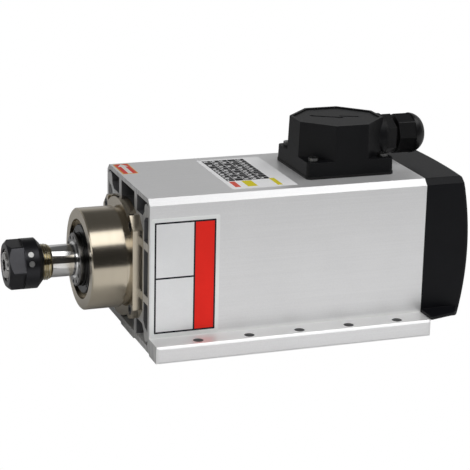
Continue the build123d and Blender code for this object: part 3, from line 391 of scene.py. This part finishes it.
dress(extrusionSkin(), "housing_extrusion")
dress(turnedNickel(), "front_bearing_housing")
dress(nutOxide(), "collet_nut")
dress(castMetal(), "rear_end_bell", "rotor_end_rings")
dress(stackedSteel(), "stator_core", "rotor_core")
dress(woundCopper(), "front_end_winding", "rear_end_winding")
looks = {}
families = ((blackened, blackSteels), (brightMetal, brightMetals), (moulded, plastics), (flowCoat, coats))
for make, family in families:
    for name, (*values, wearers) in family.items():
        looks[name] = make(name, *values)
        dress(looks[name], *wearers)
print("finishes on the made parts")


# surfaces worked out on grids; faces that meet at less than these degrees are shaded as one
smoothing = {"turned": 35.0, "sheet": 2.0, "block": 10.0}
mergeGap = 1e-7  # metres


def surface(name, grid, look, body, joined=True, smooth=smoothing["turned"]):
    # quads between neighbours of a grid, rows by columns by 3, in mm; the columns close round, and either
    # the last row meets the first, or each end row shuts on its own middle
    rows, columns = grid.shape[:2]
    row, column = np.meshgrid(np.arange(rows - 1), np.arange(columns), indexing="ij")
    this, following = row * columns + column, row * columns + (column + 1) % columns
    faces = np.stack([this, following, following + columns, this + columns], axis=-1).reshape(-1, 4).tolist()
    if joined:
        ring = np.arange(columns)
        after = (ring + 1) % columns
        last = (rows - 1) * columns
        faces += np.stack([last + ring, last + after, after, ring], axis=-1).tolist()
    mesh = bpy.data.meshes.new(name)
    mesh.from_pydata((grid.reshape(-1, 3) * mm).tolist(), [], faces)
    return place(name, mesh, look, body, smooth)


def place(name, mesh, look, body, smooth):
    work = bmesh.new()
    work.from_mesh(mesh)
    bmesh.ops.remove_doubles(work, verts=work.verts, dist=mergeGap)
    bmesh.ops.recalc_face_normals(work, faces=work.faces)
    work.to_mesh(mesh)
    work.free()
    mesh.polygons.foreach_set("use_smooth", [True] * len(mesh.polygons))
    mesh.set_sharp_from_angle(angle=math.radians(smooth))
    mesh.materials.append(look.material)
    piece = bpy.data.objects.new(name, mesh)
    bpy.context.scene.collection.objects.link(piece)
    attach(piece, body)
    return piece


def rounded(x0, x1, y0, y1, radius, steps=6):
    # a rectangle's outline: each corner is a quarter circle, swept through four quarter turns
    angle = np.linspace(0, np.pi / 2, steps)
    turn = np.arange(4)[:, None] * np.pi / 2
    right, left, back, front = x1 - radius, x0 + radius, y1 - radius, y0 + radius
    corner = np.array([[right, back], [left, back], [left, front], [right, front]])
    x = corner[:, :1] + radius * np.cos(angle + turn)
    y = corner[:, 1:] + radius * np.sin(angle + turn)
    return np.stack([x.ravel(), y.ravel()], axis=-1)


def divided(corners, perEdge):
    # a closed outline with each straight edge cut into equal steps: corner + share * (next corner - corner)
    share = np.linspace(0, 1, perEdge, endpoint=False)[None, :, None]
    return (corners[:, None] * (1 - share) + np.roll(corners, -1, axis=0)[:, None] * share).reshape(-1, 2)


# the signs are thin layers on the housing
housing = {"side": -50.25, "roof": 107.0}  # where they lie, mm
signBody, signSlot = "spindle_housing", "sign_vinyl"
layers = {  # where each layer starts and ends above the metal, mm
    "sheet": (0.0, 0.12), "panel": (0.1, 0.15), "band": (0.1, 0.155), "field": (0.1, 0.16),
    "patch": (0.1, 0.17), "mark": (0.1, 0.185), "line": (0.1, 0.19),
}
sheetEdge = {"bevel": 0.06, "shrink": 0.998}


def ontoSide(a, b, lift):  # the near side of the housing
    return np.stack([a, housing["side"] - lift, b], axis=-1)


def ontoTop(a, b, lift):  # the roof of the housing
    return np.stack([a, b, housing["roof"] + lift], axis=-1)


def lifted(levels, onto):  # rings with their heights, as rows of a grid
    return np.stack([onto(ring[:, 0], ring[:, 1], np.full(len(ring), height)) for ring, height in levels])


def slab(name, outline, layer, onto, look, middle=None):
    # a thin sheet: the outline at its two heights with a bevel, shut on a middle point at both ends
    low, high = layers[layer]
    middle = outline.mean(axis=0) if middle is None else np.array(middle)
    bevel = min(sheetEdge["bevel"], (high - low) / 2)
    inner = middle + (outline - middle) * sheetEdge["shrink"]
    point = np.repeat(middle[None], len(outline), axis=0)
    levels = [(point, low), (outline, low), (outline, high - bevel), (inner, high), (point, high)]
    return surface(name, lifted(levels, onto), look, signBody, False, smoothing["sheet"])


def border(name, outer, inner, layer, onto, look):
    # a flat ring: a rectangular section carried round between two outlines
    low, high = layers[layer]
    levels = [(inner, low), (outer, low), (outer, high), (inner, high)]
    return surface(name, lifted(levels, onto), look, signBody)


def tiles(name, cells, layer, onto, look):
    # many small blocks at once: each row of cells is x0, x1, y0, y1, drawn at the layer's two heights
    across, along = cells[:, [0, 1, 1, 0]], cells[:, [2, 2, 3, 3]]
    corners = [onto(across, along, np.full(across.shape, height)) for height in layers[layer]]
    points = np.concatenate(corners, axis=1).reshape(-1, 3) * mm
    block = np.array([[0, 3, 2, 1], [4, 5, 6, 7], [0, 1, 5, 4], [1, 2, 6, 5], [2, 3, 7, 6], [3, 0, 4, 7]])
    faces = (np.arange(len(cells))[:, None, None] * 8 + block).reshape(-1, 4)
    mesh = bpy.data.meshes.new(name)
    mesh.from_pydata(points.tolist(), [], faces.tolist())
    return place(name, mesh, look, signBody, smoothing["block"])


sideSign = {
    "x": (-102.0, -54.4), "z": (12.0, 94.0), "corner": 1.2,
    "frameX": (-99.5, -57.1), "frameZ": (14.8, 91.4), "line": 1.15, "frameCorners": (0.5, 0.2),
    "divide": -71.9, "shelf": 53.0, "panelCorner": 0.3, "panelGap": 0.2, "ruleGap": 0.3,
    # each ink: display colour, roughness, foil
    "paper": ((250, 252, 251), 0.36, 0.7), "panel": ((246, 247, 248), 0.36, 0.7),
    "ink": ((28, 28, 34), 0.35), "red": ((250, 46, 36), 0.38, 0.45),
}


def makeSideSign():  # a frame round blank panels and a plain red band
    s = sideSign
    ink = printed("signInk", *s["ink"])
    (x0, x1), (z0, z1), divide, shelf = s["frameX"], s["frameZ"], s["divide"], s["shelf"]
    line, half, gap, end, corner = s["line"], s["line"] / 2, s["panelGap"], s["ruleGap"], s["panelCorner"]
    left = rounded(x0 + gap, divide, z0 + gap, z1 - gap, corner)
    right = rounded(divide, x1 - gap, z0 + gap, z1 - gap, corner)
    outer, inner = s["frameCorners"]
    around = rounded(x0, x1, z0, z1, outer)
    within = rounded(x0 + line, x1 - line, z0 + line, z1 - line, inner)
    rules = np.array([[divide - half, divide + half, z0 + end, z1 - end],
                      [x0 + end, divide, shelf - half, shelf + half]])
    whole = rounded(*s["x"], *s["z"], s["corner"])
    slab("sideSignSheet", whole, "sheet", ontoSide, printed("signWhite", *s["paper"]))
    slab("sideSignPanel", left, "panel", ontoSide, printed("signPale", *s["panel"]))
    slab("sideSignBand", right, "band", ontoSide, printed("signRed", *s["red"]))
    border("sideSignFrame", around, within, "line", ontoSide, ink)
    tiles("sideSignRules", rules, "mark", ontoSide, ink)


topSign = {
    "x": (-42.0, 4.5), "y": (-38.7, 38.7), "corner": 1.0,
    "tableX": (-38.9, -8.2), "tableY": (-19.0, 36.0), "tableCorner": 0.3,
    "columns": 5, "rows": 11, "rule": 0.32,
    "barGap": 0.9, "barHalf": 0.9, "barShare": (0.28, 0.38), "barWave": (2.3, 1.7),  # bars of uneven length
    "emptyWave": (5.1, 3.3), "emptyBelow": -0.72,  # cells left without one
    "redPatch": [(-38.4, -34.4, -34.4, -20.6)],
    "yellowPatches": [(-29.6, -22.6, -34.6, -20.4), (-8.8, -5.2, -36.0, -18.5)],
    # each ink: display colour, roughness
    "paper": ((252, 252, 253), 0.6), "ink": ((38, 38, 40), 0.6), "red": ((225, 96, 80), 0.6),
    "yellow": ((228, 214, 40), 0.6),
}


def makeTopSign():  # a plain grid of cells, most with a bar that stands for a value
    s = topSign
    paper = printed("plateWhite", *s["paper"])
    (x0, x1), (y0, y1), half = s["tableX"], s["tableY"], s["rule"] / 2
    ruleX = np.linspace(x0, x1, s["columns"] + 1)[1:-1]
    ruleY = np.linspace(y0, y1, s["rows"] + 1)[1:-1]
    rules = np.concatenate([
        np.stack([ruleX - half, ruleX + half, np.full(len(ruleX), y0), np.full(len(ruleX), y1)], axis=-1),
        np.stack([np.full(len(ruleY), x0), np.full(len(ruleY), x1), ruleY - half, ruleY + half], axis=-1)])
    cells = np.meshgrid(np.arange(s["columns"]), np.arange(s["rows"]), indexing="ij")
    column, row = (count.ravel() for count in cells)
    cellX, cellY = (x1 - x0) / s["columns"], (y1 - y0) / s["rows"]
    (least, more), (waveX, waveY), (emptyX, emptyY) = s["barShare"], s["barWave"], s["emptyWave"]
    share = least + more * np.abs(np.sin(column * waveX + row * waveY))
    filled = np.sin(column * emptyX + row * emptyY) > s["emptyBelow"]
    start, middle = x0 + column * cellX + s["barGap"], y0 + (row + 0.5) * cellY
    end = start + share * (cellX - 2 * s["barGap"])
    bars = np.stack([start, end, middle - s["barHalf"], middle + s["barHalf"]], axis=-1)[filled]
    whole, inked = rounded(*s["x"], *s["y"], s["corner"]), rounded(x0, x1, y0, y1, s["tableCorner"])
    slab("topSignSheet", whole, "sheet", ontoTop, paper)
    slab("topSignTable", inked, "field", ontoTop, printed("plateInk", *s["ink"]))
    tiles("topSignRules", rules, "line", ontoTop, paper)
    tiles("topSignBars", bars, "mark", ontoTop, paper)
    tiles("topSignRed", np.array(s["redPatch"]), "patch", ontoTop, printed("plateRed", *s["red"]))
    yellow = printed("plateYellow", *s["yellow"])
    tiles("topSignYellow", np.array(s["yellowPatches"]), "patch", ontoTop, yellow)


arrowSign = {
    "x": (-101.2, -90.4), "y": (17.4, 43.6), "corner": 0.5, "edge": 0.8, "fieldCorner": 0.3,
    "tip": 12.3, "shoulder": 5.6, "head": 3.9, "stem": 1.55, "perEdge": 6,  # from the sign's middle
    # each ink: display colour, roughness, foil
    "red": ((236, 54, 40), 0.42, 0.4), "white": ((250, 248, 244), 0.42, 0.45),
    "rim": ((246, 182, 84), 0.42, 0.4),
}


def makeArrowSign():  # a plain arrow for the turning direction
    s = arrowSign
    (x0, x1), (y0, y1), edge = s["x"], s["y"], s["edge"]
    tip, shoulder, head, stem = s["tip"], s["shoulder"], s["head"], s["stem"]
    field = rounded(x0 + edge, x1 - edge, y0 + edge, y1 - edge, s["fieldCorner"])
    shape = np.array([(0, tip), (-head, shoulder), (-stem, shoulder), (-stem, -tip),
                      (stem, -tip), (stem, shoulder), (head, shoulder)])
    middle = np.array([(x0 + x1) / 2, (y0 + y1) / 2])
    whole, arrow = rounded(x0, x1, y0, y1, s["corner"]), divided(shape + middle, s["perEdge"])
    slab("arrowSignSheet", whole, "sheet", ontoTop, printed("arrowEdge", *s["rim"]))
    slab("arrowSignField", field, "field", ontoTop, printed("arrowRed", *s["red"]))
    slab("arrowSignArrow", arrow, "line", ontoTop, printed("arrowWhite", *s["white"]), middle + (0, shoulder))


makeSideSign()
makeTopSign()
makeArrowSign()
print("signs placed")


shaft = {  # stations along the axis and radii, mm
    "front": -182.0, "threadEnd": -160.0, "taperEnd": -157.5,
    "mouth": 10.33, "land": 12.3, "edge": 0.8, "neck": 10.9,
    "pitch": 1.5, "depth": 0.8, "crest": (1.3, 0.15), "fadeIn": (0.0, 1.2), "fadeOut": (1.0, 1.4),
    "step": 0.2, "columns": 72,
    "bore": [(-118.0, 0.0), (-118.0, 4.5), (-153.8, 4.5), (-153.8, 6.37)],
    "steps": [(-141.0, 10.9), (-141.0, 12.5), (-104.0, 12.5), (-104.0, 16.0), (-96.0, 16.0), (-96.0, 14.0),
              (38.0, 14.0), (38.0, 11.0), (83.5, 11.0), (83.5, 8.5), (99.0, 8.5), (99.0, 7.0), (120.0, 7.0),
              (120.0, 6.2), (121.0, 6.2), (121.0, 7.0), (124.0, 7.0), (124.0, 0.0)],
    "steel": (0.84, 0.84, 0.84), "rough": 0.08,
    # the oil on the thread: its colour, where it fades out beside the taper's end, where the roots lie below
    # the land, and its share on the crests
    "oil": (0.46, 0.4, 0.25), "oilEnd": (0.4, -1.2), "root": (-0.1, -0.6), "crestOil": 0.55,
}


def makeShaft():
    # radius = lathe profile - depth * V(x / pitch - turn), where V is a triangle wave that fades in and out
    s = shaft
    first = s["front"] + s["edge"]
    corners = s["bore"] + [(s["front"], s["mouth"]), (s["front"], s["land"] - s["edge"]), (first, s["land"])]
    cut = np.arange(first + s["step"], s["taperEnd"], s["step"])
    land = np.interp(cut, [s["threadEnd"], s["taperEnd"]], [s["land"], s["neck"]])
    thread = np.stack([cut, land], axis=-1)
    profile = np.concatenate([corners, thread, [(s["taperEnd"], s["neck"])], s["steps"]])
    x, r = profile[:, :1], profile[:, 1:]
    turn = np.linspace(0, 1, s["columns"], endpoint=False)
    wave = np.abs(((x / s["pitch"] - turn) % 1.0) * 2 - 1)
    (before, fadeIn), (after, fadeOut), (sharp, flat) = s["fadeIn"], s["fadeOut"], s["crest"]
    fade = np.clip((x - first - before) / fadeIn, 0, 1) * np.clip((s["taperEnd"] - after - x) / fadeOut, 0, 1)
    threaded = (r > s["neck"]) * (x < s["taperEnd"])
    radius = r - s["depth"] * np.clip(wave * sharp - flat, 0, 1) * fade * threaded
    angle = 2 * np.pi * turn
    grid = np.stack([x + 0 * radius, radius * np.cos(angle), axisHeight + radius * np.sin(angle)], axis=-1)
    steel = brightMetal("polishedSteel", s["steel"], s["rough"])
    root = steel.between(steel.radius(), *(s["land"] + way for way in s["root"]))
    oiled = steel.between(steel.axes()[0], *(s["taperEnd"] + way for way in s["oilEnd"]))
    amount = oiled * (s["crestOil"] + root * (1 - s["crestOil"]))
    steel.set("Base Color", steel.mix(amount, s["steel"], s["oil"]))
    piece = surface("threadedShaft", grid, steel, "rotor", False)
    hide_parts("rotor_shaft")


lid = {  # the lid of the terminal box, mm; a groove is x0, y0, x1, y1 from the lid's middle
    "middle": 47.0, "length": 57.4, "width": 53.4, "corner": 17.44, "z": (139.8, 142.2),
    "perEdge": 32, "rings": 90,
    "grooves": [(-16.0, 8.8, 4.0, -2.6), (3.4, 2.4, 16.0, -2.2)], "half": 1.5, "depth": 1.3, "wall": 0.35,
}


def makeLid():
    # height = top - depth * groove(x, y) on rings that shrink from the eight-sided outline to its middle
    s = lid
    a, b, c = s["length"] / 2, s["width"] / 2, s["corner"]
    corners = [(a, c - b), (a, b - c), (a - c, b), (c - a, b),
               (-a, b - c), (-a, c - b), (c - a, -b), (a - c, -b)]
    shrink = np.concatenate([[0.0, 1.0], np.linspace(1.0, 0.0, s["rings"])])
    plan = shrink[:, None, None] * divided(np.array(corners), s["perEdge"])
    x, y = plan[..., 0], plan[..., 1]
    sunk = np.zeros_like(x)
    for x0, y0, x1, y1 in s["grooves"]:
        middle = y0 + (y1 - y0) * (x - x0) / (x1 - x0)
        inside = np.minimum(np.minimum(x - x0, x1 - x), s["half"] - np.abs(y - middle))
        sunk = np.maximum(sunk, np.clip(inside / s["wall"], 0, 1))
    bottom, top = s["z"]
    z = top - s["depth"] * sunk
    z[:2] = bottom
    grid = np.stack([x + s["middle"], y, z], axis=-1)
    piece = surface("groovedLid", grid, looks["boxPlastic"], "spindle_housing", False)
    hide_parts("terminal_box_lid")


makeShaft()
makeLid()
print("shaft and lid made")


camera = {
    "focal": 1799.78, "middle": (237.18, 234.06), "frame": 470,  # in dots of the frame
    "spot": (-433.5, -1121.0, 423.8), "azimuth": -20.065, "elevation": 16.8077, "roll": 1.3213,
    "sensor": 36.0, "clip": (0.05, 50),
}


def makeCamera():
    c = camera
    az, el, roll = (math.radians(c[k]) for k in ("azimuth", "elevation", "roll"))
    back = Vector((math.sin(az) * math.cos(el), -math.cos(az) * math.cos(el), math.sin(el)))
    right = (-back).cross(Vector((0, 0, 1))).normalized()
    up = back.cross(right)
    turnedRight = right * math.cos(roll) + up * math.sin(roll)
    turnedUp = up * math.cos(roll) - right * math.sin(roll)
    data = bpy.data.cameras.new("studioCamera")
    data.sensor_width, data.lens = c["sensor"], c["sensor"] * c["focal"] / c["frame"]
    half = c["frame"] / 2
    data.shift_x = (half - c["middle"][0]) / c["frame"]
    data.shift_y = (c["middle"][1] - half) / c["frame"]
    data.clip_start, data.clip_end = c["clip"]
    eye = bpy.data.objects.new("studioCamera", data)
    turn = Matrix((turnedRight, turnedUp, back)).transposed()
    eye.matrix_world = Matrix.Translation(Vector(c["spot"]) * mm) @ turn.to_4x4()
    bpy.context.scene.collection.objects.link(eye)
    bpy.context.scene.camera = eye


lamps = {
    # name: (direction from the part, distance, width, height, power, shows in gloss)
    "frontSoftbox": ((0.328, -0.4, 0.856), 1.5, 3.4, 0.74, 16.0, True),
    "leftSoftbox": ((-0.9, -0.2, 0.35), 1.7, 0.9, 0.7, 2.4, True),
    "openFill": ((-0.2, -0.7, 0.85), 2.2, 2.6, 1.8, 15.0, False),
}
lampTarget = (0, 0, 0.06)  # what they point at, metres


def makeLamps():
    for name, (way, far, wide, high, power, inGloss) in lamps.items():
        data = bpy.data.lights.new(name, "AREA")
        data.shape, data.size, data.size_y, data.energy = "RECTANGLE", wide, high, power
        lamp = bpy.data.objects.new(name, data)
        lamp.visible_glossy = inGloss
        aim = Vector(way).normalized()
        turn = aim.to_track_quat("Z", "Y").to_matrix().to_4x4()
        lamp.matrix_world = Matrix.Translation(aim * far + Vector(lampTarget)) @ turn
        bpy.context.scene.collection.objects.link(lamp)


room = {  # greys of the two walls from straight down to straight up, and where one passes into the other
    "front": [(0.0, 0.4), (0.42, 0.3), (0.5, 0.04), (0.75, 0.03), (1.0, 0.1)],
    "back": [(0.0, 0.4), (0.5, 0.5), (0.66, 0.5), (0.79, 0.12), (1.0, 0.1)],
    "passing": (-0.25, 0.35),
}


def makeRoom():
    world = bpy.data.worlds.new("studioRoom")
    bpy.context.scene.world = world
    world.use_nodes = True
    tree = Tree(world.node_tree)
    x, y, z = tree.split(tree.add("ShaderNodeTexCoord", out="Generated"))
    height = tree.add("ShaderNodeMapRange", {}, {"Value": z, "From Min": -1.0})
    walls = []
    for side in ("front", "back"):
        stops = [(position, (grey,) * 3) for position, grey in room[side]]
        walls.append(tree.add("ShaderNodeValToRGB", {"stops": stops}, {0: height}))
    around = tree.mix(tree.between(y, *room["passing"]), *walls)
    seen = tree.add("ShaderNodeLightPath", out="Is Camera Ray")
    tree.plug(world.node_tree.nodes["Background"].inputs[0], tree.mix(seen, around, (1.0,) * 3))


# white to the camera, and a lit sheet with a near edge to everything else; heights in metres, edges in mm
table = {"height": -0.0004, "half": 6.0, "tone": 0.7, "dim": 0.04, "rough": 0.7, "glow": 0.34,
         "edge": (-620, -420), "shade": (-50, -90)}


def makeTable():
    t = table
    half, height = t["half"], t["height"]
    corners = [(-half, -half, height), (half, -half, height), (half, half, height), (-half, half, height)]
    mesh = bpy.data.meshes.new("studioTable")
    mesh.from_pydata(corners, [], [(0, 1, 2, 3)])
    piece = bpy.data.objects.new("studioTable", mesh)
    bpy.context.scene.collection.objects.link(piece)
    grey, dim, glow, dark, white = ((c,) * 3 for c in (t["tone"], t["dim"], t["glow"], 0.0, 1.0))
    look = Look("tableWhite", grey, 0.0, t["rough"], Specular_IOR_Level=0.0, Emission_Strength=1.0)
    seen = look.add("ShaderNodeLightPath", out="Is Camera Ray")
    y = look.axes()[1]
    sheet = look.between(y, *t["edge"])
    strip = sheet * look.between(y, *t["shade"])
    look.set("Base Color", look.mix(seen, look.mix(sheet, dim, grey), dark))
    look.set("Emission Color", look.mix(seen, look.mix(strip, dark, glow), white))
    mesh.materials.append(look.material)


makeRoom()
makeLamps()
makeTable()
makeCamera()
bpy.context.scene.view_settings.view_transform = "Standard"
print("room, lamps and camera set")
